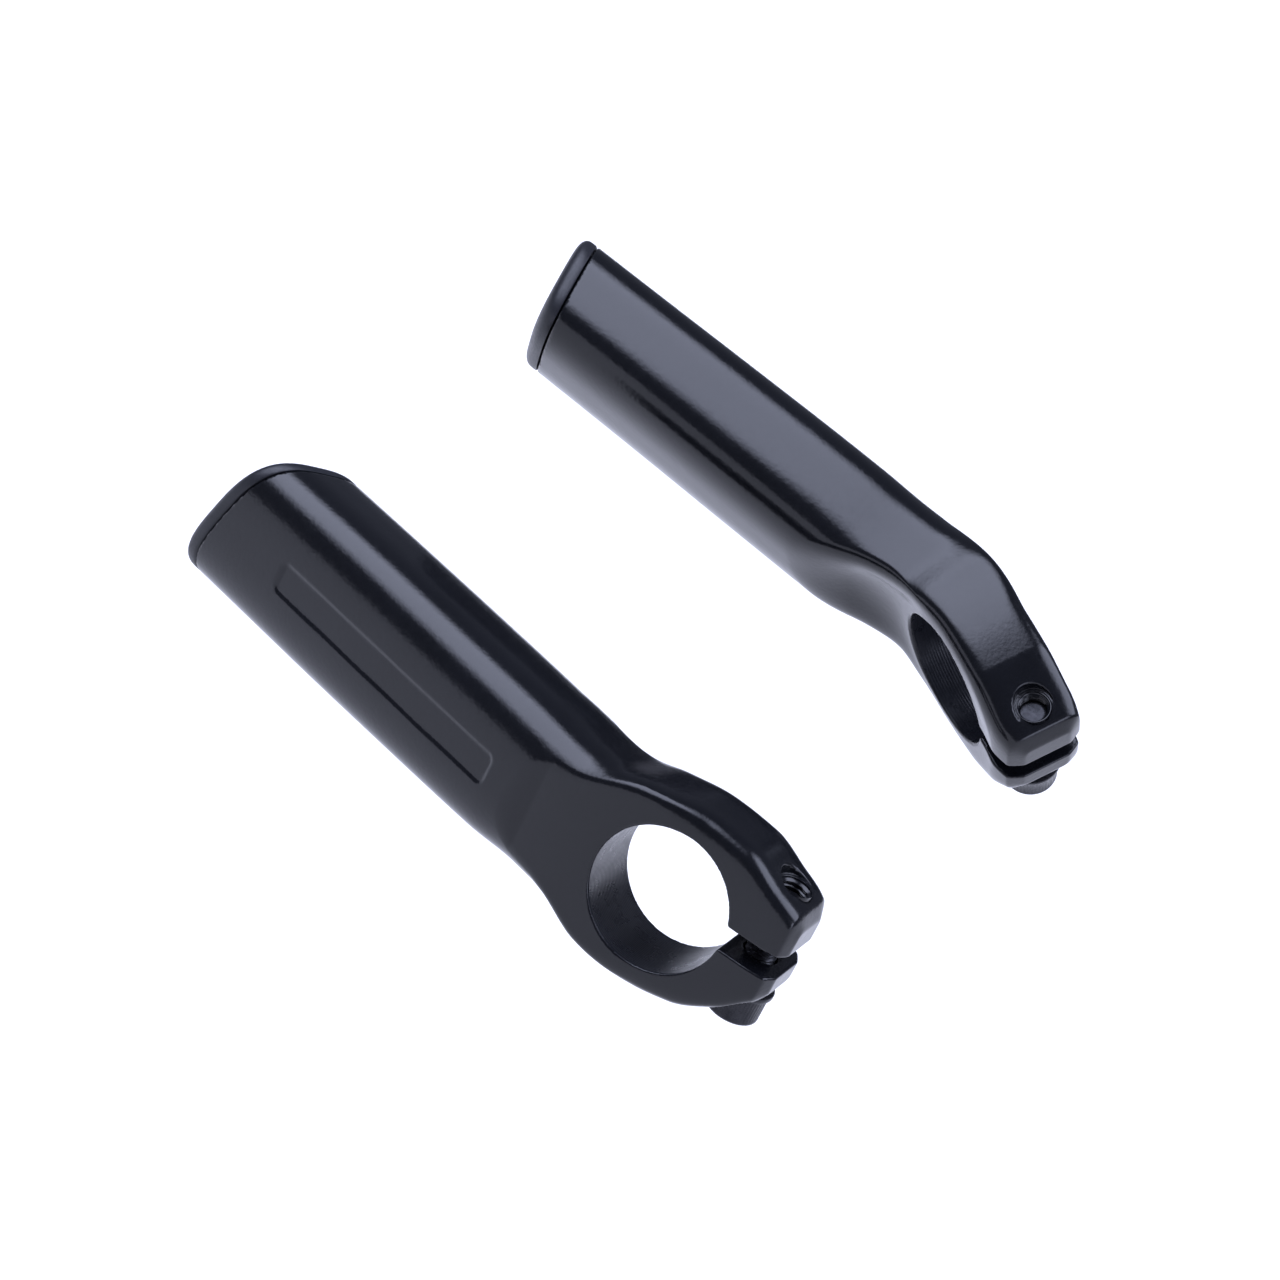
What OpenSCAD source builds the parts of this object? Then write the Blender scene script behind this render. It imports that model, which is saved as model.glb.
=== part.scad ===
// Pair of short forged bar ends for a straight bicycle handlebar, laid out side by side.
// Each bar end is an arm with a split clamp, a pinch bolt with its washer, and an end cap.
// The two arms are mirror images: the shape below is the right one, which bends towards -Y.
// Frame: the origin is the centre of the left bar end's handlebar bore. +Y runs along that
// bore to the inner side, the grip leaves towards -X, and +Z is the tapped side. Millimetres.

/* [Clamp] */
// Diameter of the handlebar that the clamp fits
bar_d = 22.2; // [22:0.1:22.4]
// Length of the clamp along the handlebar
clamp_w = 13.8; // [13.4:0.2:15]
// Bevel at both ends of the bore
bore_bevel = 0.3; // [0.2:0.1:0.6]
// Gap between the two ears
slot_gap = 3.8; // [2.5:0.1:4.4]
// Height of the gap's middle above the bore's axis
slot_rise = 0.9; // [0.2:0.1:1.2]
// Radius at which the face around the bore starts to rise towards the grip
face_r = 18.2; // [17.4:0.2:19]
// Slope of that rise
scoop_slope = 50; // [45:1:55]
// Radius of the hollow blend at the foot of the rise
scoop_r = 5; // [3:0.5:7]

/* [Grip] */
// Length of the arm, from the bore's axis to the cap's joint
arm_len = 96; // [92:1:104]
// Width of the grip
grip_w = 19.8; // [19:0.1:21]
// Height of the grip
grip_h = 26; // [25:0.1:27]
// Squareness of the grip's section (2 is an ellipse)
grip_power = 3; // [2.6:0.1:4]
// Angle that the grip turns towards the rider's hand
bend_in = 18.5; // [14:0.5:22]
// Angle that the grip rises from the plane of the slot
bend_up = -1.3; // [-3:0.1:2]
// Twist of the grip's section
grip_twist = -2.3; // [-5:0.1:1]
// Lean of the cut end, for each millimetre of height
cut_up = 0.35; // [0.1:0.01:0.4]
// Lean of the cut end, for each millimetre of width
cut_in = 0.34; // [0.1:0.01:0.4]

/* [End cap] */
// Thickness of the cap that shows
cap_t = 3.3; // [2.8:0.1:5]
// Open line between the cap and the arm
cap_gap = 0.2; // [0.1:0.1:0.4]
// Length of the plug inside the arm
plug_len = 10; // [9:0.5:12]

/* [Pinch bolt] */
// Distance from the bore's axis to the bolt's axis
bolt_x = 15.5; // [15.3:0.1:15.7]
// Diameter of the bolt's thread
bolt_d = 5; // [4.9:0.1:5]
// Length of the bolt under its head
bolt_len = 16; // [14:1:18]
// Diameter of the bolt's head
head_d = 8.5; // [8:0.1:8.6]
// Height of the bolt's head
head_h = 4.6; // [4:0.1:5]
// Distance from the bore's axis down to the washer's seat
seat_z = 6; // [5.6:0.1:6.4]

/* [Layout] */
// Place of the right bar end, towards +X
right_x = 11.7; // [5:0.1:30]
// Place of the right bar end, towards +Y
right_y = 59.6; // [50:0.1:90]
// Place of the right bar end, towards +Z
right_z = 31.4; // [20:0.1:60]

/* [Hidden] */
$fn = 96;
// Turn of the right bar end about X, then Y, then Z
right_turn = [42.58, 15.34, -22.81];
// Distance from the bore's axis to the end of the ears
nose = 20.2;
half_w = clamp_w / 2;
// Metal that is machined off both faces of the clamp
face_stock = 0.25;
// Where the outer face starts and stops falling away, and the radius of that curve
fall_start = 4;
fall_end = 24;
fall_r = 75;
// Height to which the scoop's cutter reaches
scoop_h = 16;
bore_r = bar_d / 2;
slot_z = slot_rise - slot_gap / 2;
// Start and length of the bend between the clamp and the grip
bend_start = 1;
bend_len = 17.8;
// Hollow inside the grip: two half circles joined by straight walls
hollow_r = 7.3;
hollow_rise = 2.9;
hollow_len = 52;
// Clearance of the plug and of its snap ribs inside the hollow
plug_clear = 0.15;
rib_clear = 0.05;
rib_t = 0.8;
plug_wall = 1.6;
cap_round = 1.9;
// Clearances of the pinch bolt and its washer
thread_clear = 0.05;
shank_clear = 0.25;
stack_gap = 0.05;
washer_t = 0.9;
washer_d = 9.4;
washer_hole = 5.3;
seat_r = 4.95;
head_z = seat_z + 2 * stack_gap + washer_t;
bolt_bevel = 0.4;
socket_af = 4;
socket_depth = 2.6;
// Small counterbore at the mouth of the tapped hole
mouth_r = 3.1;
mouth_z = 10.9;

aluminium_black = [0.09, 0.09, 0.1];
plastic_black = [0.16, 0.16, 0.17];
steel_black = [0.22, 0.22, 0.24];

// ---- Middle line of the arm ----
ahead = [-1, 0, 0];
grip_dir = [-cos(bend_up) * cos(bend_in), -cos(bend_up) * sin(bend_in), sin(bend_up)];
bend = acos(-grip_dir[0]);
bend_dir = [0, grip_dir[1], grip_dir[2]] / sin(bend);
bend_r = bend_len * 180 / (PI * bend);

function ease(t) = let (u = min(max(t, 0), 1)) u * u * (3 - 2 * u);
function part_bent(s) = min(max(s - bend_start, 0), bend_len) / bend_len;
function past_bend(s) = max(s - bend_start - bend_len, 0);
function turn(s) = bend * part_bent(s);
function reach(s) = min(s, bend_start) + bend_r * sin(turn(s)) + past_bend(s) * cos(bend);
function drift(s) = bend_r * (1 - cos(turn(s))) + past_bend(s) * sin(bend);
function middle(s) = reach(s) * ahead + drift(s) * bend_dir;
function along(s) = cos(turn(s)) * ahead + sin(turn(s)) * bend_dir;
function carried(v, s) =
    v + (v * bend_dir) * ((cos(turn(s)) - 1) * bend_dir - sin(turn(s)) * ahead);
function twist(s) = grip_twist * ease(part_bent(s));
function inward(s) =
    cos(twist(s)) * carried([0, -1, 0], s) + sin(twist(s)) * carried([0, 0, 1], s);
function upward(s) =
    cos(twist(s)) * carried([0, 0, 1], s) - sin(twist(s)) * carried([0, -1, 0], s);

// ---- Sizes of the section along the middle line, as [distance, size] ----
section_top = [[-nose, 8.1], [-18.8, 9.7], [-14.5, 11.7], [-8, 14.5], [0, 15.2], [8, 14.1],
               [15, 12.3], [22, 11.9], [32, 12.4], [46, grip_h / 2 - 0.3], [80, grip_h / 2]];
section_bottom = [[-nose, 5.2], [-18.8, 6.3], [-14.5, 10.2], [-8, 13.9], [0, 15.2], [8, 14.05],
                  [15, 11.85], [22, 11.75], [32, 12.5], [46, grip_h / 2 - 0.2],
                  [80, grip_h / 2 + 0.2]];
section_inner = [[-nose, half_w - 1.9], [-18.8, half_w - 0.5], [-15, half_w + face_stock],
                 [8, half_w + face_stock], [15, 7.9], [22, 9.2], [32, 10.5],
                 [46, grip_w / 2 + 0.5], [80, grip_w / 2 + 0.2]];
section_outer = [[-nose, half_w - 1.9], [-18.8, half_w - 0.5], [-15, half_w + face_stock],
                 [-2, half_w + face_stock], [8, 9.1], [15, 9.5], [22, 9.45], [32, 9.7],
                 [46, grip_w / 2 - 0.1], [80, grip_w / 2 - 0.2]];
inner_power = [[-nose, 6], [8, 6], [34, grip_power]];
outer_power = [[-nose, 6], [5, 6], [18, grip_power]];

function rise(t, i) = (t[i + 1][1] - t[i][1]) / (t[i + 1][0] - t[i][0]);
function slope(t, i) =
    i == 0 || i == len(t) - 1 || rise(t, i - 1) * rise(t, i) <= 0
    ? 0 : 2 * rise(t, i - 1) * rise(t, i) / (rise(t, i - 1) + rise(t, i));
function blend(t, i, w, u) =
    t[i][1] * (1 + 2 * u) * pow(1 - u, 2) + slope(t, i) * w * u * pow(1 - u, 2)
    + t[i + 1][1] * u * u * (3 - 2 * u) - slope(t, i + 1) * w * u * u * (1 - u);
function span(t, s) = max([for (i = [0:len(t) - 2]) if (s >= t[i][0] || i == 0) i]);
function size(t, s) =
    let (i = span(t, s), w = t[i + 1][0] - t[i][0], u = min(max((s - t[i][0]) / w, 0), 1))
    blend(t, i, w, u);

// ---- One section of the arm, as a ring of points ----
ring_points = 40;
function bow(c, p) = sign(c) * pow(abs(c), 2 / p);
function lean(s) = ease((s - 40) / 25);
function point(s, a, b) =
    middle(s) + a * inward(s) + b * upward(s) - lean(s) * (cut_up * b + cut_in * a) * along(s);
function ring(s, inset) = [
    for (i = [0:ring_points - 1])
        let (t = i * 360 / ring_points, p = size(cos(t) > 0 ? inner_power : outer_power, s),
             side = size(cos(t) > 0 ? section_inner : section_outer, s) - inset,
             height = size(sin(t) > 0 ? section_top : section_bottom, s) - inset)
        point(s, side * bow(cos(t), p), height * bow(sin(t), p))
];

// Solid through a list of rings, each given as [distance, inset]
module loft(rings) {
    n = ring_points;
    last = n * (len(rings) - 1);
    sides = [
        for (k = [0:len(rings) - 2], i = [0:n - 1])
            let (j = (i + 1) % n)
            each [[k * n + i, k * n + n + i, k * n + n + j], [k * n + i, k * n + n + j, k * n + j]]
    ];
    start = [for (i = [0:n - 1]) i];
    end = [for (i = [n - 1:-1:0]) last + i];
    polyhedron([for (r = rings) each ring(r[0], r[1])], concat([start, end], sides));
}

// Moves to the grip's own axes: X is across, Y is up, and Z runs out along the grip
module at_grip(s) {
    n = inward(s);
    u = upward(s);
    t = along(s);
    m = middle(s);
    multmatrix([[n[0], u[0], t[0], m[0]],
                [n[1], u[1], t[1], m[1]],
                [n[2], u[2], t[2], m[2]]]) children();
}

module obround(r, length) {
    linear_extrude(length) {
        translate([0, hollow_rise]) circle(r);
        translate([0, -hollow_rise]) circle(r);
        translate([-r, -hollow_rise]) square([2 * r, 2 * hollow_rise]);
    }
}

// ---- Arm ----
module bare_arm() {
    nose_rings = [for (i = [0:10]) [-nose * cos(9 * i), 0]];
    neck_rings = [for (s = [2.5:2.5:45]) [s, 0]];
    grip_rings = [for (i = [0:4]) [50 + (arm_len - 50) * i / 4, 0]];
    loft(concat(nose_rings, neck_rings, grip_rings));
}

// Machined flat around the bore, and the scoop that rises from it to the grip
module face_cutter() {
    steps = 6;
    foot = face_r - scoop_r * tan(scoop_slope / 2);
    arc = [for (i = [0:steps]) let (t = scoop_slope * i / steps)
           [foot + scoop_r * sin(t), half_w + scoop_r * (1 - cos(t))]];
    top = [[face_r + scoop_h / tan(scoop_slope), half_w + scoop_h], [0, half_w + scoop_h]];
    rotate([90, 0, 0])
        rotate_extrude()
            polygon(concat([[0, half_w]], arc, top));
}

// Flat outer face of the clamp, which falls away in a long curve towards the neck
module outer_face_cutter() {
    steps = 12;
    far = fall_end - fall_start;
    curve = [for (i = [0:steps]) let (q = far * i / steps)
             [-fall_start - q, half_w - fall_r + sqrt(fall_r * fall_r - q * q)]];
    drop = fall_r - sqrt(fall_r * fall_r - far * far);
    translate([0, 0, -30])
        linear_extrude(60)
            polygon(concat([[30, half_w]], curve,
                           [[-34, half_w - drop], [-34, half_w + 8], [30, half_w + 8]]));
}

module bore_cutter() {
    rotate([90, 0, 0]) {
        cylinder(h = clamp_w + 10, r = bore_r, center = true);
        for (m = [0, 1])
            mirror([0, 0, m])
                translate([0, 0, half_w - bore_bevel])
                    cylinder(h = 2, r1 = bore_r, r2 = bore_r + 2);
    }
}

module bolt_cutter() {
    translate([bolt_x, 0, 0]) {
        cylinder(h = 20, r = bolt_d / 2 + thread_clear);
        translate([0, 0, -20]) cylinder(h = 21, r = bolt_d / 2 + shank_clear);
        translate([0, 0, -20 - seat_z]) cylinder(h = 20, r = seat_r);
        translate([0, 0, mouth_z]) cylinder(h = 10, r = mouth_r);
    }
}

module arm() {
    color(aluminium_black)
        difference() {
            bare_arm();
            face_cutter();
            outer_face_cutter();
            bore_cutter();
            translate([bore_r - 3, -15, slot_z]) cube([20, 30, slot_gap]);
            bolt_cutter();
            at_grip(arm_len) translate([0, 0, -hollow_len]) obround(hollow_r, hollow_len + 10);
        }
}

// ---- End cap: the lid that shows, and the hollow plug with two snap ribs ----
module cap_lid() {
    s0 = arm_len + cap_gap;
    s1 = s0 + cap_t - cap_round;
    edge = [for (i = [0:5]) let (t = 18 * i)
            [s1 + cap_round * sin(t), cap_round * (1 - cos(t))]];
    loft(concat([[s0, 0]], edge));
}

module plug() {
    difference() {
        union() {
            translate([0, 0, -plug_len]) obround(hollow_r - plug_clear, plug_len + 8);
            for (z = [-plug_len + 1.5, -plug_len + 5])
                translate([0, 0, z]) obround(hollow_r - rib_clear, rib_t);
        }
        translate([0, 0, -plug_len - 1]) obround(hollow_r - plug_clear - plug_wall, plug_len - 2);
    }
}

// Half space on the clamp's side of the lid's middle plane
module inner_side() {
    up_turn = atan(cut_up);
    in_turn = atan(cut_in * cos(up_turn));
    translate([0, 0, cap_gap + cap_t / 2])
        rotate([-up_turn, in_turn, 0])
            translate([-20, -20, -40]) cube([40, 40, 40]);
}

module end_cap() {
    color(plastic_black)
        union() {
            cap_lid();
            at_grip(arm_len)
                intersection() {
                    plug();
                    inner_side();
                }
        }
}

// ---- Washer and pinch bolt ----
module washer() {
    color(steel_black)
        translate([bolt_x, 0, -seat_z - stack_gap - washer_t])
            difference() {
                cylinder(h = washer_t, d = washer_d);
                translate([0, 0, -1]) cylinder(h = washer_t + 2, d = washer_hole);
            }
}

module pinch_bolt() {
    head_r = head_d / 2;
    shank_r = bolt_d / 2;
    profile = [[0, -head_h], [head_r - bolt_bevel, -head_h], [head_r, bolt_bevel - head_h],
               [head_r, 0], [shank_r, 0], [shank_r, bolt_len - bolt_bevel],
               [shank_r - bolt_bevel, bolt_len], [0, bolt_len]];
    color(steel_black)
        translate([bolt_x, 0, -head_z])
            difference() {
                rotate_extrude() polygon(profile);
                translate([0, 0, -head_h - 1])
                    cylinder(h = socket_depth + 1, d = socket_af / cos(30), $fn = 6);
            }
}

module place_right() {
    translate([right_x, right_y, right_z]) rotate(right_turn) children();
}

// ---- Nodes ----
module left_arm() { mirror([0, 1, 0]) arm(); }
module left_end_cap() { mirror([0, 1, 0]) end_cap(); }
module left_washer() { washer(); }
module left_pinch_bolt() { pinch_bolt(); }
module right_arm() { place_right() arm(); }
module right_end_cap() { place_right() end_cap(); }
module right_washer() { place_right() washer(); }
module right_pinch_bolt() { place_right() pinch_bolt(); }

left_arm();
left_end_cap();
left_washer();
left_pinch_bolt();
right_arm();
right_end_cap();
right_washer();
right_pinch_bolt();
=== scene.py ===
import math

import bpy
import numpy as np
from mathutils import Matrix, Vector


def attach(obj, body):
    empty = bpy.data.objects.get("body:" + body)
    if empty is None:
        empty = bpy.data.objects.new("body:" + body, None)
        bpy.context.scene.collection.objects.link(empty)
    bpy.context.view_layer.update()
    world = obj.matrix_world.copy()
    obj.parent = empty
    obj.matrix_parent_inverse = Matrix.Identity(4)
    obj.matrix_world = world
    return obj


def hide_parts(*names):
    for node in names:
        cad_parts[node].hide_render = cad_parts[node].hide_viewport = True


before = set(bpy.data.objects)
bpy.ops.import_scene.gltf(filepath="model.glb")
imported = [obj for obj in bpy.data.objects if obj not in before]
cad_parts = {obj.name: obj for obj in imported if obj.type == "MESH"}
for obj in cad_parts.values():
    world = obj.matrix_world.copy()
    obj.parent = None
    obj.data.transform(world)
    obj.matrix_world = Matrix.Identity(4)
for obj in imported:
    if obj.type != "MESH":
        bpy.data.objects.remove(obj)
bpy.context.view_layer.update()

MM = 0.001

# ---------------------------------------------------------------- sizes, in millimetres
BORE_R = 11.1
HALF_W = 6.9
FACE_STOCK = 0.25
NOSE = 20.2
SLOT_GAP, SLOT_RISE = 3.8, 0.9
FACE_R, SCOOP_SLOPE, SCOOP_R = 18.2, math.radians(50), 5.0
FALL_START, FALL_END, FALL_R = 4.0, 24.0, 75.0
ARM_LEN, GRIP_W, GRIP_H, GRIP_POWER = 96.0, 19.8, 26.0, 3.0
BEND_IN, BEND_UP, TWIST = math.radians(18.5), math.radians(-1.3), math.radians(-2.3)
CUT_UP, CUT_IN = 0.35, 0.34
BEND_START, BEND_LEN = 1.0, 17.8
CAP_T, CAP_GAP, CAP_ROUND = 3.3, 0.2, 1.9
PLUG_LEN, PLUG_CLEAR, RIB_CLEAR, RIB_T, PLUG_WALL = 10.0, 0.15, 0.05, 0.8, 1.6
HOLLOW_R, HOLLOW_RISE, HOLLOW_LEN = 7.3, 2.9, 52.0
BOLT_X, BOLT_LEN, HEAD_D, HEAD_H = 15.5, 16.0, 8.5, 4.6
SEAT_Z, SEAT_R, WASHER_T, WASHER_D, STACK_GAP = 6.0, 4.95, 0.9, 9.4, 0.05
MOUTH_R, MOUTH_Z = 3.1, 10.9
SHANK_HOLE_R, TAPPED_HOLE_R = 2.75, 2.55
PANEL_AT, PANEL_HALF_LEN, PANEL_UP, PANEL_HALF_H = 57.0, 25.0, -0.6, 1.3
PANEL_R, PANEL_DEPTH = 1.2, 0.3
RIGHT_AT = np.array([11.7, 59.6, 31.4])
RIGHT_TURN = (42.58, 15.34, -22.81)

TOP = [(-NOSE, 8.1), (-18.8, 9.7), (-14.5, 11.7), (-8, 14.5), (0, 15.2), (8, 14.1),
       (15, 12.3), (22, 11.9), (32, 12.4), (46, GRIP_H / 2 - 0.3), (80, GRIP_H / 2)]
BOTTOM = [(-NOSE, 5.2), (-18.8, 6.3), (-14.5, 10.2), (-8, 13.9), (0, 15.2), (8, 14.05),
          (15, 11.85), (22, 11.75), (32, 12.5), (46, GRIP_H / 2 - 0.2), (80, GRIP_H / 2 + 0.2)]
INNER = [(-NOSE, HALF_W - 1.9), (-18.8, HALF_W - 0.5), (-15, HALF_W + FACE_STOCK),
         (8, HALF_W + FACE_STOCK), (15, 7.9), (22, 9.2), (32, 10.5),
         (46, GRIP_W / 2 + 0.5), (80, GRIP_W / 2 + 0.2)]
OUTER = [(-NOSE, HALF_W - 1.9), (-18.8, HALF_W - 0.5), (-15, HALF_W + FACE_STOCK),
         (-2, HALF_W + FACE_STOCK), (8, 9.1), (15, 9.5), (22, 9.45), (32, 9.7),
         (46, GRIP_W / 2 - 0.1), (80, GRIP_W / 2 - 0.2)]
POWER = [(-NOSE, 6), (8, 6), (34, GRIP_POWER)]
OUTER_POWER = [(-NOSE, 6), (5, 6), (18, GRIP_POWER)]

# ---------------------------------------------------------------- middle line of the arm
AHEAD = np.array([-1.0, 0, 0])
GRIP_DIR = np.array([-math.cos(BEND_UP) * math.cos(BEND_IN),
                     -math.cos(BEND_UP) * math.sin(BEND_IN), math.sin(BEND_UP)])
BEND = math.acos(-GRIP_DIR[0])
BEND_DIR = np.array([0, GRIP_DIR[1], GRIP_DIR[2]]) / math.sin(BEND)
BEND_R = BEND_LEN / BEND
ACROSS = np.cross(AHEAD, BEND_DIR)
IN0, UP0 = np.array([0, -1.0, 0]), np.array([0, 0, 1.0])


def ease(t):
    t = np.clip(t, 0, 1)
    return t * t * (3 - 2 * t)


def size(table, s):
    """Smooth curve through [distance, size] pairs, flat past both ends."""
    x = np.array([p[0] for p in table], float)
    y = np.array([p[1] for p in table], float)
    d = np.diff(y) / np.diff(x)
    m = np.zeros(len(x))
    ok = d[:-1] * d[1:] > 0
    m[1:-1][ok] = 2 * (d[:-1] * d[1:])[ok] / (d[:-1] + d[1:])[ok]
    i = np.clip(np.searchsorted(x, s) - 1, 0, len(x) - 2)
    w = x[i + 1] - x[i]
    u = np.clip((s - x[i]) / w, 0, 1)
    return (y[i] * (1 + 2 * u) * (1 - u) ** 2 + m[i] * w * u * (1 - u) ** 2
            + y[i + 1] * u * u * (3 - 2 * u) - m[i + 1] * w * u * u * (1 - u))


def axes_at(s):
    """Middle point, inward, upward and outgoing directions at distances s."""
    s = np.atleast_1d(np.asarray(s, float))
    part = np.clip(s - BEND_START, 0, BEND_LEN)
    turn = (part / BEND_R)[:, None]
    past = np.maximum(s - BEND_START - BEND_LEN, 0)[:, None]
    reach = np.minimum(s, BEND_START)[:, None] + BEND_R * np.sin(turn) + past * math.cos(BEND)
    drift = BEND_R * (1 - np.cos(turn)) + past * math.sin(BEND)
    middle = reach * AHEAD + drift * BEND_DIR
    along = np.cos(turn) * AHEAD + np.sin(turn) * BEND_DIR

    def carried(v):
        return v + (v @ BEND_DIR) * ((np.cos(turn) - 1) * BEND_DIR - np.sin(turn) * AHEAD)

    tw = (TWIST * ease(part / BEND_LEN))[:, None]
    inward = np.cos(tw) * carried(IN0) + np.sin(tw) * carried(UP0)
    upward = np.cos(tw) * carried(UP0) - np.sin(tw) * carried(IN0)
    return middle, inward, upward, along


def unroll(p):
    """Distance along the arm, inward and upward offsets of points p."""
    x = p @ AHEAD
    y = p @ BEND_DIR
    z = p @ ACROSS
    ang = np.arctan2(x - BEND_START, BEND_R - y)
    past = (x - BEND_START) * math.cos(BEND) + (y - BEND_R) * math.sin(BEND)
    near = x < BEND_START
    far = ~near & ((ang > BEND) | (ang < 0))
    s = np.where(near, x, BEND_START + np.clip(ang, 0, BEND) * BEND_R)
    q = np.where(near, y, BEND_R - np.hypot(x - BEND_START, BEND_R - y))
    s = np.where(far, BEND_START + BEND_LEN + past, s)
    rx = (x - BEND_START) - BEND_R * math.sin(BEND)
    ry = y - BEND_R * (1 - math.cos(BEND))
    q = np.where(far, -rx * math.sin(BEND) + ry * math.cos(BEND), q)
    a0 = q * (IN0 @ BEND_DIR) + z * (IN0 @ ACROSS)
    b0 = q * (UP0 @ BEND_DIR) + z * (UP0 @ ACROSS)
    tw = TWIST * ease((s - BEND_START) / BEND_LEN)
    return s, np.cos(tw) * a0 + np.sin(tw) * b0, np.cos(tw) * b0 - np.sin(tw) * a0


# ---------------------------------------------------------------- the arm as a field
def both(a, b, r):
    """Inside both, with the convex edge between them rounded to radius r."""
    return (np.minimum(np.maximum(a, b), -r)
            + np.hypot(np.maximum(a + r, 0), np.maximum(b + r, 0)))


def obround(a, b, r, rise):
    return np.hypot(a, np.maximum(np.abs(b) - rise, 0)) - r


def panel(s, a, b):
    """Depth of the shallow panel pressed into the outer flank."""
    beyond = np.maximum(np.abs(s - PANEL_AT) - PANEL_HALF_LEN, 0)
    beside = np.maximum(np.abs(b - PANEL_UP) - PANEL_HALF_H, 0)
    return np.where(a < 0, PANEL_DEPTH * ease(0.5 + PANEL_R - np.hypot(beyond, beside)), 0)


def outer_face(x, y):
    """Height above the clamp's outer face, which falls away in a long curve to the neck."""
    q = np.clip(-FALL_START - x, 0, FALL_END - FALL_START)
    drop = FALL_R - np.sqrt(FALL_R ** 2 - q ** 2)
    slope = np.where(x > -FALL_END, q / np.sqrt(FALL_R ** 2 - q ** 2), 0)
    return (y - HALF_W + drop) / np.sqrt(1 + slope ** 2)


def arm_field(p):
    s, a, b = unroll(p)
    n = np.where(a > 0, size(POWER, s), size(OUTER_POWER, s))
    w = np.where(a > 0, size(INNER, s), size(OUTER, s))
    h = np.where(b > 0, size(TOP, s), size(BOTTOM, s))
    u, v = np.abs(a) / w + 1e-9, np.abs(b) / h + 1e-9
    un, vn = u ** n, v ** n
    f = (un + vn) ** (1 / n)
    g = f ** (1 - n) * np.hypot(un / u / w, vn / v / h)
    body = (f - 1) / np.maximum(g, 0.02) + panel(s, a, b)
    body = both(body, -NOSE - s, 1.3)
    lean = math.sqrt(1 + CUT_UP ** 2 + CUT_IN ** 2)
    body = both(body, (s + CUT_UP * b + CUT_IN * a - ARM_LEN) / lean, 0.35)
    x, y, z = p[:, 0], p[:, 1], p[:, 2]
    r = np.hypot(x, z)
    rise = (r - FACE_R) * math.sin(SCOOP_SLOPE) + (y + HALF_W) * math.cos(SCOOP_SLOPE)
    face = both(rise, HALF_W + y, SCOOP_R)
    body = both(body, -face, 0.9 + 1.8 * ease((s - 8) / 10))
    body = both(body, outer_face(x, y), 0.45 + 0.45 * ease((x + 18) / 8))
    body = both(body, BORE_R - r, 0.45)
    slot = np.maximum(np.abs(z - SLOT_RISE) - SLOT_GAP / 2, 4 - x)
    body = both(body, -slot, 0.35)
    br = np.hypot(x - BOLT_X, y)
    hole = br - np.where(z < SLOT_RISE, SHANK_HOLE_R, TAPPED_HOLE_R)
    body = both(body, -hole, 0.2)
    seat = both(br - SEAT_R, z + SEAT_Z, 0.1)
    body = both(body, -seat, 0.35)
    mouth = np.maximum(br - MOUTH_R, MOUTH_Z - z)
    body = both(body, -mouth, 0.25)
    hollow = np.maximum(obround(a, b, HOLLOW_R, HOLLOW_RISE), ARM_LEN - HOLLOW_LEN - s)
    return both(body, -hollow, 0.3)


def steps(parts):
    out = [parts[0][0]]
    for end, step in parts:
        k = max(int(round((end - out[-1]) / step)), 0)
        if k:
            out.extend(np.linspace(out[-1], end, k + 1)[1:])
    return np.array(out)


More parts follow.
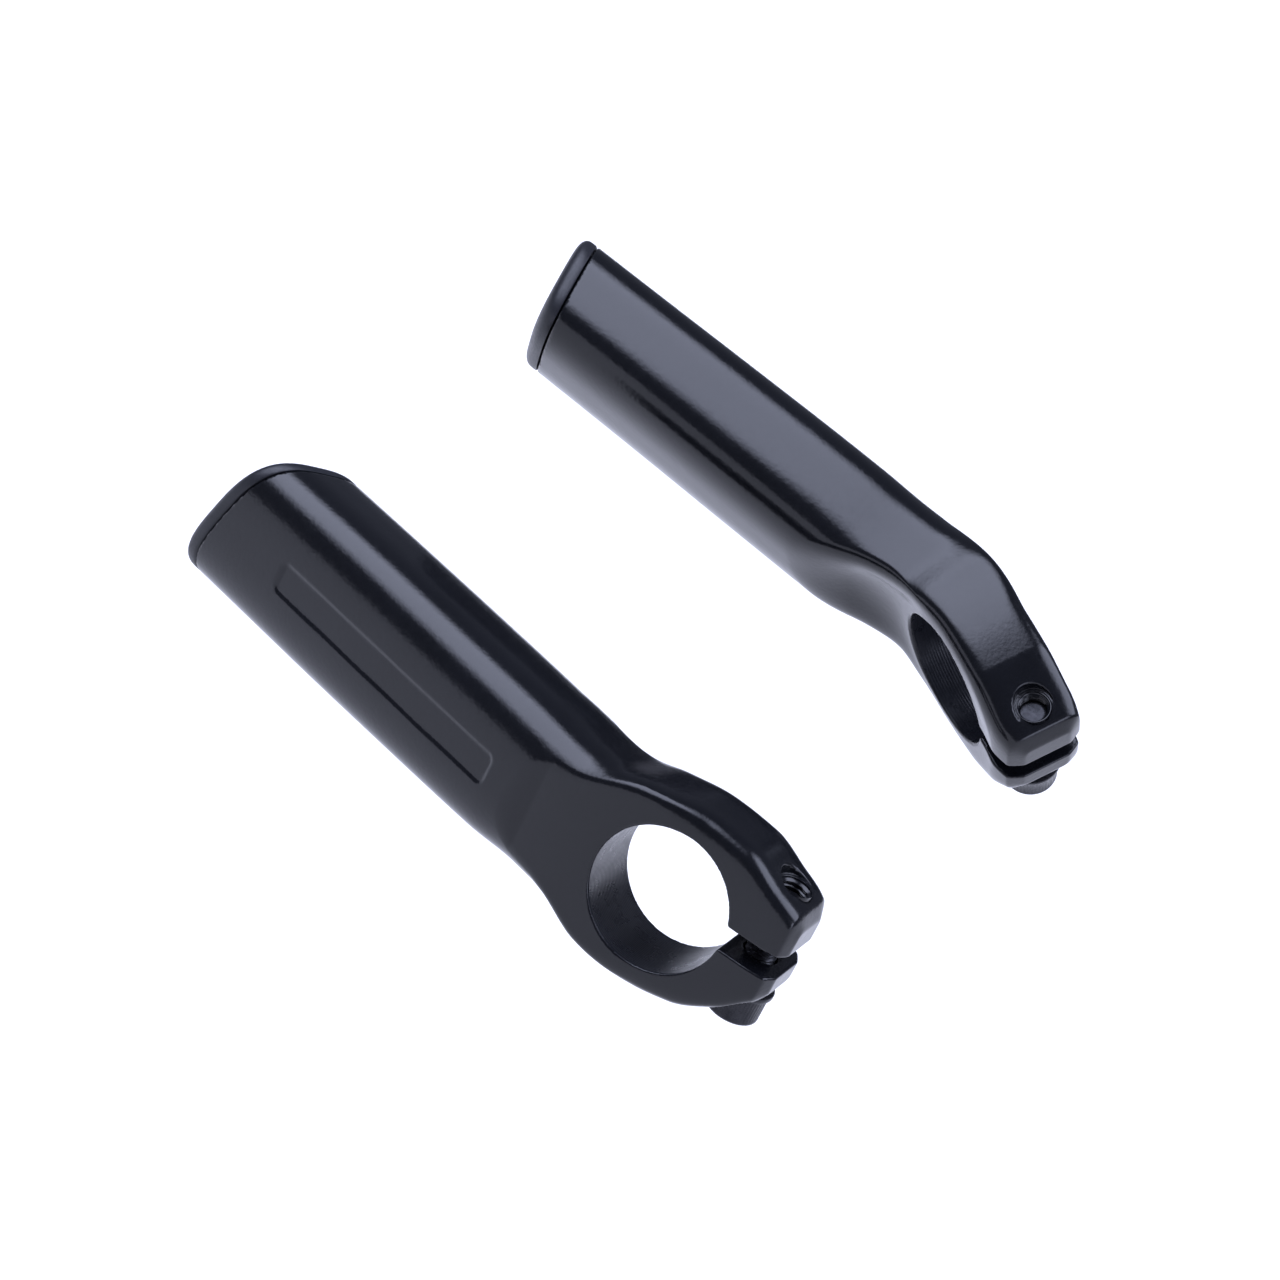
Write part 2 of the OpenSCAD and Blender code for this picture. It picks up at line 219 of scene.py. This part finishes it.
def net(field, gx, gy, gz, reach):
    """Quads through the zero level of a field on a grid, then pulled onto it."""
    shape = (len(gx), len(gy), len(gz))
    skip = 4

    def sample(ix, iy, iz):
        return field(np.stack([gx[ix], gy[iy], gz[iz]], -1))

    cx, cy, cz = (np.arange(0, k + skip, skip).clip(max=k - 1) for k in shape)
    ic = np.stack(np.meshgrid(cx, cy, cz, indexing="ij"), -1).reshape(-1, 3)
    rough = sample(*ic.T).reshape(len(cx), len(cy), len(cz))
    fine = [np.minimum((np.arange(k) + skip // 2) // skip, len(c) - 1)
            for k, c in zip(shape, (cx, cy, cz))]
    v = rough[np.ix_(*fine)].astype(float)
    near = np.abs(v) < reach
    i = np.nonzero(near)
    out = np.empty(len(i[0]))
    for k in range(0, len(out), 400000):
        j = slice(k, k + 400000)
        out[j] = sample(i[0][j], i[1][j], i[2][j])
    v[near] = out
    s = v < 0
    grids = (gx, gy, gz)
    cells = tuple(k - 1 for k in shape)
    total = np.zeros((cells[0] * cells[1] * cells[2], 4))
    edges = []
    for ax in range(3):
        lo = [slice(None)] * 3
        hi = [slice(None)] * 3
        lo[ax], hi[ax] = slice(0, -1), slice(1, None)
        cross = np.stack(np.nonzero(s[tuple(lo)] != s[tuple(hi)]), -1)
        nxt = cross.copy()
        nxt[:, ax] += 1
        v0, v1 = v[tuple(cross.T)], v[tuple(nxt.T)]
        t = v0 / (v0 - v1)
        q = np.stack([grids[k][cross[:, k]] for k in range(3)], -1)
        q[:, ax] += t * (grids[ax][nxt[:, ax]] - grids[ax][cross[:, ax]])
        b1, b2 = (ax + 1) % 3, (ax + 2) % 3
        around = []
        for d1, d2 in ((0, 0), (-1, 0), (-1, -1), (0, -1)):
            c = cross.copy()
            c[:, b1] += d1
            c[:, b2] += d2
            flat = (c[:, 0] * cells[1] + c[:, 1]) * cells[2] + c[:, 2]
            around.append(flat)
            for k in range(3):
                total[:, k] += np.bincount(flat, q[:, k], len(total))
            total[:, 3] += np.bincount(flat, minlength=len(total))
        quad = np.stack(around, -1)
        flip = v0 > 0
        quad[flip] = quad[flip][:, ::-1]
        edges.append(quad)
    used = np.nonzero(total[:, 3])[0]
    index = np.full(len(total), -1)
    index[used] = np.arange(len(used))
    pts = total[used, :3] / total[used, 3:]
    quads = index[np.concatenate(edges)]
    for _ in range(4):
        g = gradient(field, pts)
        f = field(pts)
        move = -f[:, None] * g / np.maximum((g * g).sum(1), 0.05)[:, None]
        size_ = np.linalg.norm(move, axis=1, keepdims=True)
        pts = pts + move * np.minimum(1, 0.25 / np.maximum(size_, 1e-9))
    g = gradient(field, pts)
    return pts, quads, g / np.maximum(np.linalg.norm(g, axis=1, keepdims=True), 1e-9)


def gradient(field, p, h=0.03):
    g = np.empty_like(p)
    for k in range(3):
        d = np.zeros(3)
        d[k] = h
        g[:, k] = (field(p + d) - field(p - d)) / (2 * h)
    return g


# ---------------------------------------------------------------- meshes
def turn_matrix(deg):
    rx, ry, rz = (math.radians(v) for v in deg)
    return Matrix.Rotation(rz, 4, "Z") @ Matrix.Rotation(ry, 4, "Y") @ Matrix.Rotation(rx, 4, "X")


MIRROR = np.array([1.0, -1.0, 1.0])
PLACE = {"left": Matrix.Identity(4),
         "right": Matrix.Translation(Vector(RIGHT_AT) * MM) @ turn_matrix(RIGHT_TURN)}


def placed(side, pts, normals=None):
    """One side's arm or cap in the shared frame: the left one is the mirror image."""
    m = np.array(PLACE[side])
    flip = MIRROR if side == "left" else np.ones(3)
    if normals is None:
        return (pts * flip) @ m[:3, :3].T + m[:3, 3] / MM
    return (normals * flip) @ m[:3, :3].T


def wound(side, faces):
    return faces[:, ::-1] if side == "left" else faces


def make_mesh(name, pts, faces, materials, normals=None, index=None, crease=35):
    """Mesh from points in millimetres and a list of face arrays."""
    me = bpy.data.meshes.new(name)
    faces = [np.asarray(f, dtype=np.int32) for f in faces if len(f)]
    sizes = np.concatenate([np.full(len(f), f.shape[1]) for f in faces])
    loops = np.concatenate([f.ravel() for f in faces])
    me.vertices.add(len(pts))
    me.vertices.foreach_set("co", (np.asarray(pts) * MM).astype(np.float32).ravel())
    me.loops.add(len(loops))
    me.loops.foreach_set("vertex_index", loops)
    me.polygons.add(len(sizes))
    me.polygons.foreach_set("loop_start", np.concatenate([[0], np.cumsum(sizes)[:-1]])
                            .astype(np.int32))
    for m in materials:
        me.materials.append(m)
    if index is not None:
        me.polygons.foreach_set("material_index", index.astype(np.int32))
    me.update(calc_edges=True)
    me.polygons.foreach_set("use_smooth", np.ones(len(me.polygons), bool))
    if normals is not None:
        me.normals_split_custom_set_from_vertices(normals.astype(np.float32))
    else:
        me.set_sharp_from_angle(angle=math.radians(crease))
    return me


def add_piece(side, name, me, body, replaces=(), in_place=False):
    ob = bpy.data.objects.new(f"{side}_{name}", me)
    bpy.context.scene.collection.objects.link(ob)
    ob.matrix_world = Matrix.Identity(4) if in_place else PLACE[side]
    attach(ob, f"{side}_{body}")
    if replaces:
        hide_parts(*(f"{side}_{node}" for node in replaces))
    return ob


def skin(rows):
    """Closed skin over rows of points, each row a ring; the ends close in fans."""
    rows = [np.asarray(r, float) for r in rows]
    k = len(rows[0])
    i = np.arange(len(rows) - 1)[:, None] * k
    j = np.arange(k)
    n = (j + 1) % k
    quads = np.stack([i + j, i + n, i + k + n, i + k + j], -1).reshape(-1, 4)
    first, last = len(rows) * k, (len(rows) - 1) * k
    fans = [np.stack([np.full(k, first), n, j], -1),
            np.stack([np.full(k, first + 1), last + j, last + n], -1)]
    pts = np.concatenate([*rows, rows[0].mean(0)[None], rows[-1].mean(0)[None]])
    return pts, [quads, np.concatenate(fans)]


def close(rows):
    """Skin over rows that come back to the first one, such as a ring's section."""
    k = len(rows[0])
    m = len(rows)
    i = np.arange(m)[:, None]
    j = np.arange(k)[None, :]
    n, q = (j + 1) % k, (i + 1) % m
    quads = np.stack([i * k + j, i * k + n, q * k + n, q * k + j], -1).reshape(-1, 4)
    return np.concatenate(rows), [quads]


def turned(r, z, k, x=0.0):
    """Ring of k points about an upright axis at x, with radius r (a number or one for each)."""
    a = np.arange(k) * 2 * np.pi / k
    return np.stack([x + r * np.cos(a), r * np.sin(a), np.broadcast_to(z, (k,)) * 1.0], -1)


# ---------------------------------------------------------------- materials
def new_material(name, colour, roughness):
    m = bpy.data.materials.new(name)
    m.use_nodes = True
    t = m.node_tree
    b = t.nodes["Principled BSDF"]
    b.inputs["Base Color"].default_value = (*colour, 1)
    b.inputs["Roughness"].default_value = roughness
    b.inputs["Specular IOR Level"].default_value = 0.3
    return m, t, b


def noise(t, scale, detail):
    n = t.nodes.new("ShaderNodeTexNoise")
    n.inputs["Scale"].default_value = scale
    n.inputs["Detail"].default_value = detail
    t.links.new(t.nodes.new("ShaderNodeTexCoord").outputs["Object"], n.inputs["Vector"])
    return n.outputs["Fac"]


def ranged(t, value, low, high, start=0.3, stop=0.7):
    n = t.nodes.new("ShaderNodeMapRange")
    n.inputs["From Min"].default_value = start
    n.inputs["From Max"].default_value = stop
    n.inputs["To Min"].default_value = low
    n.inputs["To Max"].default_value = high
    t.links.new(value, n.inputs["Value"])
    return n.outputs["Result"]


def ramp(t, value, stops):
    n = t.nodes.new("ShaderNodeValToRGB")
    e = n.color_ramp.elements
    while len(e) < len(stops):
        e.new(0.5)
    for item, (place, colour) in zip(e, stops):
        item.position = place
        item.color = (*colour, 1)
    t.links.new(value, n.inputs["Fac"])
    return n.outputs["Color"]


def bump(t, height, strength, distance, after=None):
    n = t.nodes.new("ShaderNodeBump")
    n.inputs["Strength"].default_value = strength
    n.inputs["Distance"].default_value = distance
    t.links.new(height, n.inputs["Height"])
    if after is not None:
        t.links.new(after, n.inputs["Normal"])
    return n.outputs["Normal"]


def distance_along(t, axis):
    """Distance along a direction in the piece's own frame, as a texture source."""
    c = t.nodes.new("ShaderNodeTexCoord")
    d = t.nodes.new("ShaderNodeVectorMath")
    d.operation = "DOT_PRODUCT"
    d.inputs[1].default_value = axis
    t.links.new(c.outputs["Object"], d.inputs[0])
    return d.outputs["Value"]


def math_node(t, kind, a, b):
    n = t.nodes.new("ShaderNodeMath")
    n.operation = kind
    for socket, v in zip(n.inputs, (a, b)):
        if isinstance(v, (int, float)):
            socket.default_value = v
        else:
            t.links.new(v, socket)
    return n.outputs[0]


def paint():
    m, t, b = new_material("gloss_black_paint", (0.003, 0.0033, 0.0045), 0.17)
    t.links.new(ramp(t, noise(t, 60, 3), [(0.3, (0.0026, 0.0029, 0.0040)),
                                          (0.7, (0.0038, 0.0042, 0.0056))]),
                b.inputs["Base Color"])
    t.links.new(ranged(t, noise(t, 900, 3), 0.15, 0.21), b.inputs["Roughness"])
    peel = bump(t, noise(t, 1500, 1.5), 0.24, 0.00008)
    t.links.new(bump(t, noise(t, 320, 1), 0.14, 0.00012, peel), b.inputs["Normal"])
    return m


def machined(side):
    """Bored wall: fine turned lines round the bore, under thin black."""
    m, t, b = new_material(f"{side}_bored_black_metal", (0.006, 0.0066, 0.009), 0.3)
    y = distance_along(t, PLACE[side].to_3x3() @ Vector((0, 1, 0)))
    lines = math_node(t, "SINE", math_node(t, "MULTIPLY", y, 2 * math.pi / 0.00045), 0.0)
    grain = math_node(t, "ADD", lines, math_node(t, "MULTIPLY", noise(t, 1400, 3), 0.5))
    t.links.new(bump(t, grain, 0.4, 0.00002), b.inputs["Normal"])
    t.links.new(ranged(t, noise(t, 500, 3), 0.24, 0.36), b.inputs["Roughness"])
    t.links.new(ramp(t, noise(t, 120, 4), [(0.3, (0.0045, 0.005, 0.007)),
                                           (0.7, (0.009, 0.0098, 0.0125))]),
                b.inputs["Base Color"])
    return m


def plastic():
    m, t, b = new_material("spark_black_plastic", (0.008, 0.0085, 0.011), 0.4)
    spark = noise(t, 2600, 4)
    t.links.new(bump(t, spark, 0.3, 0.00006), b.inputs["Normal"])
    t.links.new(ranged(t, spark, 0.32, 0.48), b.inputs["Roughness"])
    t.links.new(ramp(t, noise(t, 250, 3), [(0.3, (0.0065, 0.007, 0.0095)),
                                           (0.7, (0.0105, 0.0112, 0.0145))]),
                b.inputs["Base Color"])
    return m


def oxide(name, turned_lines):
    """Black oxide on steel; a washer also shows the marks of its turned faces."""
    m, t, b = new_material(name, (0.012, 0.0125, 0.015), 0.3)
    b.inputs["Metallic"].default_value = 0.55
    t.links.new(ramp(t, noise(t, 700, 4), [(0.3, (0.009, 0.0095, 0.012)),
                                           (0.7, (0.022, 0.022, 0.025))]),
                b.inputs["Base Color"])
    t.links.new(ranged(t, noise(t, 1800, 3), 0.22, 0.38), b.inputs["Roughness"])
    grain = noise(t, 3200, 3)
    if turned_lines:
        c = t.nodes.new("ShaderNodeTexCoord")
        s = t.nodes.new("ShaderNodeSeparateXYZ")
        t.links.new(c.outputs["Object"], s.inputs[0])
        dx = math_node(t, "SUBTRACT", s.outputs["X"], BOLT_X * MM)
        r = math_node(t, "SQRT", math_node(t, "ADD", math_node(t, "MULTIPLY", dx, dx),
                                           math_node(t, "MULTIPLY", s.outputs["Y"],
                                                     s.outputs["Y"])), 0.0)
        lines = math_node(t, "SINE", math_node(t, "MULTIPLY", r, 2 * math.pi / 0.0002), 0.0)
        grain = math_node(t, "ADD", grain, math_node(t, "MULTIPLY", lines, 0.5))
    t.links.new(bump(t, grain, 0.2, 0.00003), b.inputs["Normal"])
    return m


PAINT, PLASTIC = paint(), plastic()
BORED = {side: machined(side) for side in ("left", "right")}
BOLT_FINISH, WASHER_FINISH = oxide("black_oxide_bolt", False), oxide("black_oxide_washer", True)

# ---------------------------------------------------------------- arms
gx = steps([(-105, 1), (-24, 0.7), (21.5, 0.35)])
gy = steps([(-46, 1), (9, 0.35)])
gz = steps([(-19, 1), (19, 0.35)])
arm_pts, arm_quads, arm_normals = net(arm_field, gx, gy, gz, 2.2)
middle = arm_pts[arm_quads].mean(1)
in_bore = ((np.hypot(middle[:, 0], middle[:, 2]) < BORE_R + 0.12)
           & (np.abs(middle[:, 1]) < HALF_W))
arm_mesh = {
    side: make_mesh(f"{side}_arm_forging", placed(side, arm_pts), [wound(side, arm_quads)],
                    [PAINT, BORED[side]], placed(side, arm_pts, arm_normals), in_bore)
    for side in ("left", "right")}


# ---------------------------------------------------------------- end cap
def end_cap():
    k = 96
    a = np.arange(k) * 2 * np.pi / k
    ca, sa = np.cos(a), np.sin(a)

    def oval(inset):
        w = np.where(ca > 0, INNER[-1][1], OUTER[-1][1]) - inset
        h = np.where(sa > 0, TOP[-1][1], BOTTOM[-1][1]) - inset
        return (w * np.sign(ca) * np.abs(ca) ** (2 / GRIP_POWER),
                h * np.sign(sa) * np.abs(sa) ** (2 / GRIP_POWER))

    def slotted(r):
        u, v = oval(0)
        f = np.arctan2(v / GRIP_H * (r + HOLLOW_RISE), u / GRIP_W * r)
        c, s = np.abs(np.cos(f)), np.abs(np.sin(f))
        flat = r * s <= HOLLOW_RISE * c
        far = np.where(flat, r / np.maximum(c, 1e-6),
                       HOLLOW_RISE * s + np.sqrt(np.maximum(r * r - (HOLLOW_RISE * c) ** 2, 0)))
        return far * np.cos(f), far * np.sin(f)

    def row(s, uv, lean=1.0):
        m, inward, upward, along = axes_at(s)
        u, v = uv[0][:, None], uv[1][:, None]
        return m + u * inward + v * upward - lean * (CUT_UP * v + CUT_IN * u) * along

    def scaled(uv, f):
        return uv[0] * f, uv[1] * f

    face = ARM_LEN + CAP_GAP + CAP_T
    flat = oval(CAP_ROUND)
    rows = [row(face + 0.3 * (1 - f * f), scaled(flat, f)) for f in (0.1, 0.3, 0.5, 0.7, 0.85, 1)]
    for deg in range(80, -1, -10):
        t = math.radians(deg)
        rows.append(row(face - CAP_ROUND * (1 - math.sin(t)), oval(CAP_ROUND * (1 - math.cos(t)))))
    back = ARM_LEN + CAP_GAP
    rows += [row(back + 0.35, oval(0)), row(back + 0.1, oval(0.1)), row(back, oval(0.35))]
    r = HOLLOW_R - PLUG_CLEAR
    rib = HOLLOW_R - RIB_CLEAR
    rows += [row(back, slotted(r + 0.25)), row(back - 0.25, slotted(r), 0.93)]
    end = ARM_LEN - PLUG_LEN
    for low, lean in ((end + 5, 0.3), (end + 1.5, 0.0)):
        rows += [row(low + RIB_T + 0.15, slotted(r), lean), row(low + RIB_T, slotted(rib), lean),
                 row(low + 0.25, slotted(rib), lean), row(low, slotted(r), lean)]
    rows += [row(end + 0.3, slotted(r), 0), row(end, slotted(r - 0.3), 0),
             row(end, slotted(r - PLUG_WALL + 0.2), 0),
             row(end + 0.2, slotted(r - PLUG_WALL), 0),
             row(end + 5.4, slotted(r - PLUG_WALL), 0),
             row(end + 5.9, slotted(r - PLUG_WALL - 0.5), 0)]
    core = slotted(r - PLUG_WALL - 0.5)
    rows += [row(end + 6, scaled(core, f), 0) for f in (0.85, 0.5, 0.12)]
    return skin(rows[::-1])


cap_pts, cap_faces = end_cap()
cap_mesh = {
    side: make_mesh(f"{side}_end_cap_lid", placed(side, cap_pts),
                    [wound(side, f) for f in cap_faces], [PLASTIC])
    for side in ("left", "right")}

# ---------------------------------------------------------------- pinch bolt, washer, thread
PITCH = 0.8


def thread(z, k, fade):
    """Radius of the M5 thread round one ring at height z, running out where fade is 0."""
    a = np.arange(k) / k
    w = 2 * np.pi * (z / PITCH - a)
    wave = (np.cos(w) + np.cos(3 * w) / 9) / (1 + 1 / 9)
    return 2.46 - 0.23 * fade * (1 - wave)


def pinch_bolt():
    k = 144
    seat = -(SEAT_Z + 2 * STACK_GAP + WASHER_T)
    low = seat - HEAD_H
    a = np.arange(k) * 2 * np.pi / k
    side = np.mod(a + np.pi / 6, np.pi / 3) - np.pi / 6
    hexagon = 2.0 / np.cos(side)
    floor_z = low + 2.6
    rows = [turned(hexagon * f, floor_z + 0.5 * (1 - f), k) for f in (0.1, 0.4, 0.75, 0.97)]
    rows += [turned(hexagon, floor_z - 0.04, k), turned(hexagon, low + 1.2, k),
             turned(hexagon, low + 0.32, k), turned(np.full(k, 2.36), low + 0.12, k),
             turned(2.48, low, k), turned(2.9, low, k), turned(3.5, low, k)]
    top = HEAD_D / 2
    for deg in range(15, 91, 15):
        t = math.radians(deg)
        rows.append(turned(top - 0.6 + 0.6 * math.sin(t), low + 0.6 * (1 - math.cos(t)), k))
    tooth = 0.045 * (1 - np.cos(48 * a))
    for z, f in ((low + 0.75, 0), (low + 0.95, 1), (seat - 0.5, 1), (seat - 0.3, 0)):
        rows.append(turned(top - f * tooth, z, k))
    rows += [turned(top, seat - 0.14, k), turned(top - 0.14, seat, k), turned(2.85, seat, k),
             turned(2.55, seat + 0.08, k), turned(2.46, seat + 0.3, k),
             turned(2.46, seat + 2, k)]
    tip = seat + BOLT_LEN
    z = seat + 2.1
    while z < tip - 0.45:
        fade = min((z - seat - 2) / 0.8, 1)
        rows.append(turned(thread(z, k, fade), z, k))
        z += 0.1
    for f in (0.25, 0.5, 0.75, 1.0):
        z = tip - 0.4 + 0.4 * f
        rows.append(turned(np.minimum(thread(z, k, 1), 2.46 - 0.5 * f), z, k))
    rows += [turned(r, tip, k) for r in (1.5, 0.6)]
    rows = [r + np.array([BOLT_X, 0, 0]) for r in rows]
    return skin(rows[::-1])


def washer():
    k = 96
    low, high = -(SEAT_Z + STACK_GAP + WASHER_T), -(SEAT_Z + STACK_GAP)
    out, hole = WASHER_D / 2, 2.65
    outline = [(hole, low + 0.12), (hole + 0.12, low), ((hole + out) / 2, low),
               (out - 0.2, low), (out - 0.06, low + 0.06), (out, low + 0.2),
               (out, high - 0.2), (out - 0.06, high - 0.06), (out - 0.2, high),
               ((hole + out) / 2, high), (hole + 0.12, high), (hole, high - 0.12)]
    return close([turned(r, z, k, BOLT_X) for r, z in outline])


def tapped_thread():
    """Sleeve that lines the tapped hole with the bolt's thread, 0.06 clear of it."""
    k = 96
    low, high = SLOT_RISE + SLOT_GAP / 2 + 0.12, MOUTH_Z - 0.05
    rows = [turned(2.62, low, k)]
    for z in np.arange(low, high + 1e-6, (high - low) / 90):
        fade = min((z - low) / 0.5, (high - z) / 0.5, 1)
        rows.append(turned(thread(z, k, max(fade, 0)) + 0.06, z, k))
    rows += [turned(2.62, high, k)]
    rows = [r + np.array([BOLT_X, 0, 0]) for r in rows]
    return close(rows)


bolt_mesh = make_mesh("pinch_bolt", *pinch_bolt(), [BOLT_FINISH], crease=40)
washer_mesh = make_mesh("washer", *washer(), [WASHER_FINISH])
thread_mesh = make_mesh("tapped_thread", *tapped_thread(), [PAINT], crease=60)

for side in ("left", "right"):
    add_piece(side, "arm_forging", arm_mesh[side], "arm", ["arm"], True)
    add_piece(side, "tapped_thread", thread_mesh, "arm")
    add_piece(side, "moulded_end_cap", cap_mesh[side], "end_cap", ["end_cap"],
              True)
    add_piece(side, "socket_head_bolt", bolt_mesh, "pinch_bolt", ["pinch_bolt"])
    add_piece(side, "turned_washer", washer_mesh, "washer", ["washer"])

# ---------------------------------------------------------------- light, floor and camera
scene = bpy.context.scene
world = bpy.data.worlds.new("studio")
scene.world = world
world.use_nodes = True
wt = world.node_tree
dim = wt.nodes["Background"]
dim.inputs["Color"].default_value = (0.72, 0.77, 1, 1)
dim.inputs["Strength"].default_value = 0.2
pale = wt.nodes.new("ShaderNodeBackground")
pale.inputs["Color"].default_value = (1, 1, 1, 1)
path = wt.nodes.new("ShaderNodeLightPath")
pick = wt.nodes.new("ShaderNodeMixShader")
wt.links.new(path.outputs["Is Camera Ray"], pick.inputs[0])
wt.links.new(dim.outputs[0], pick.inputs[1])
wt.links.new(pale.outputs[0], pick.inputs[2])
wt.links.new(pick.outputs[0], wt.nodes["World Output"].inputs["Surface"])

cam_data = bpy.data.cameras.new("camera")
camera = bpy.data.objects.new("camera", cam_data)
scene.collection.objects.link(camera)
scene.camera = camera
cam_data.sensor_width = 36
cam_data.lens = 36 * 3414.8 / 1280
camera_at = Vector((104.67, -427.44, 228.53)) * MM
right = Vector((0.80477, 0.42894, 0.41031))
down = Vector((0.53414, -0.22177, -0.81579))
ahead = right.cross(down).normalized()
down = ahead.cross(right).normalized()
turn = Matrix((right.normalized(), -down, -ahead)).transposed()
camera.matrix_world = Matrix.Translation(camera_at) @ turn.to_4x4()
cam_data.clip_start, cam_data.clip_end = 0.01, 20

floor_mesh = bpy.data.meshes.new("floor")
floor_mesh.from_pydata([(-6, -6, 0), (6, -6, 0), (6, 6, 0), (-6, 6, 0)], [], [(0, 1, 2, 3)])
floor = bpy.data.objects.new("floor", floor_mesh)
scene.collection.objects.link(floor)
floor.location = (0, 0, -0.45)
floor_finish = new_material("floor_white", (0.74, 0.72, 0.68), 0.9)[0]
floor_mesh.materials.append(floor_finish)


def softbox(name, azimuth, elevation, width, radiance, colour=(0.72, 0.77, 1)):
    """Far soft light about width degrees across in the sky, as nested discs for a soft edge."""
    a, e = math.radians(azimuth), math.radians(elevation)
    to = Vector((math.cos(a) * math.cos(e), math.sin(a) * math.cos(e), math.sin(e)))
    for k, across in enumerate((width - 9, width, width + 9)):
        d = bpy.data.lights.new(f"{name}_{k}", "SUN")
        d.angle = math.radians(across)
        d.energy = radiance / 3 * math.pi * math.sin(math.radians(across / 2)) ** 2
        d.color = colour
        o = bpy.data.objects.new(f"{name}_{k}", d)
        scene.collection.objects.link(o)
        o.rotation_euler = to.to_track_quat("Z", "Y").to_euler()


softbox("left_softbox", -157, 54, 54, 7.6)
softbox("right_softbox", 15, 52, 50, 6.7)
softbox("side_strip", -24, 12, 26, 5.6)
scene.view_settings.view_transform = "Standard"
